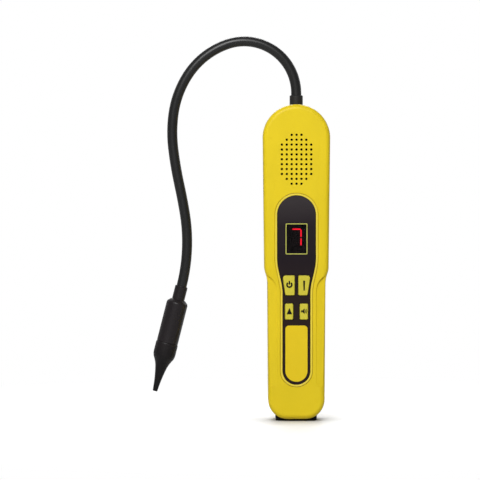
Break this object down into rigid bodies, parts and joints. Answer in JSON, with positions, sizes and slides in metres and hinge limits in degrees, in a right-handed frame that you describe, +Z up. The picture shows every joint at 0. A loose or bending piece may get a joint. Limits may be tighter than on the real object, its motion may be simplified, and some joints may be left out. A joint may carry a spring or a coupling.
{
  "type": "refrigerant leak detector",
  "caption": "Hand-held refrigerant leak detector with a key panel, a digit display, a speaker grille and a bendable arm that ends in a sensing tip.",
  "frame": {"origin": "centre of the rubber foot's underside, where the detector stands", "axes": "+Z up along the body, -Y is the side with the keys and the display, +X is to the right as seen from that side; the arm bends over toward -X"},
  "size_m": [0.1291, 0.0371, 0.2793],
  "materials": {
    "shell_front": "satin moulded plastic",
    "shell_rear": "satin moulded plastic",
    "foot": "matt rubber",
    "rim": "satin moulded plastic",
    "panel": "fine matt",
    "window_frame": "satin",
    "lens": "dark tinted, polished",
    "digit_module": "matt",
    "digit_lit": "glowing",
    "digit_unlit": "dark",
    "key_power": "satin",
    "key_level": "satin",
    "key_alarm": "satin",
    "key_reset": "satin",
    "switches": "matt",
    "plate": "satin",
    "board": "lacquered",
    "board_screws": "bright",
    "felt": "felt",
    "speaker_frame": "plated",
    "speaker_cone": "pressed paper",
    "pump_motor": "plated",
    "pump_head": "matt",
    "pump_tube": "soft clear tube",
    "cover": "satin moulded plastic",
    "cells": "sleeved",
    "contacts": "plated",
    "springs": "plated",
    "screws": "blackened",
    "gland": "satin",
    "gland_nut": "turned",
    "arm_jacket": "satin",
    "arm_core": "wound",
    "tip_collar": "satin",
    "tip_barrel": "fine matt",
    "sensor_socket": "matt",
    "sensor_can": "drawn",
    "tip_nose": "fine matt",
    "tip_filter": "felt"
  },
  "bodies": {
    "detector": {"front_shell": "shell_front", "rear_shell": "shell_rear", "foot_pad": "foot", "panel_rim": "rim", "key_panel": "panel", "window_frame": "window_frame", "display_lens": "lens", "digit_module": "digit_module", "digit_lit": "digit_lit", "digit_unlit": "digit_unlit", "key_switches": "switches", "inlay_plate": "plate", "circuit_board": "board", "board_screws": "board_screws", "grille_felt": "felt", "speaker_frame": "speaker_frame", "speaker_cone": "speaker_cone", "pump_motor": "pump_motor", "pump_head": "pump_head", "pump_tube": "pump_tube", "battery_cells": "cells", "contact_plates": "contacts", "contact_springs": "springs", "housing_screws": "screws", "gland_collar": "gland", "gland_nut": "gland_nut", "arm_jacket": "arm_jacket", "arm_core": "arm_core", "tip_collar": "tip_collar", "tip_barrel": "tip_barrel", "sensor_socket": "sensor_socket", "sensor_can": "sensor_can"},
    "key_power": {"key_power": "key_power"},
    "key_level": {"key_level": "key_level"},
    "key_alarm": {"key_alarm": "key_alarm"},
    "key_reset": {"key_reset": "key_reset"},
    "battery_cover": {"battery_cover": "cover"},
    "tip_nose": {"tip_nose": "tip_nose", "tip_filter": "tip_filter"}
  },
  "joints": [
    {"name": "key_power_press", "type": "slide", "parent": "detector", "child": "key_power", "axis": [0, 1, 0], "range_m": [0, 0.0008], "stiffness_N_per_m": 1500},
    {"name": "key_level_press", "type": "slide", "parent": "detector", "child": "key_level", "axis": [0, 1, 0], "range_m": [0, 0.0008], "stiffness_N_per_m": 1500},
    {"name": "key_alarm_press", "type": "slide", "parent": "detector", "child": "key_alarm", "axis": [0, 1, 0], "range_m": [0, 0.0008], "stiffness_N_per_m": 1500},
    {"name": "key_reset_press", "type": "slide", "parent": "detector", "child": "key_reset", "axis": [0, 1, 0], "range_m": [0, 0.0008], "stiffness_N_per_m": 1500},
    {"name": "battery_cover_off", "type": "slide", "parent": "detector", "child": "battery_cover", "axis": [0, 1, 0], "range_m": [0, 0.02]},
    {"name": "tip_nose_off", "type": "slide", "parent": "detector", "child": "tip_nose", "axis": [-0.247, 0, -0.969], "range_m": [0, 0.02]}
  ]
}
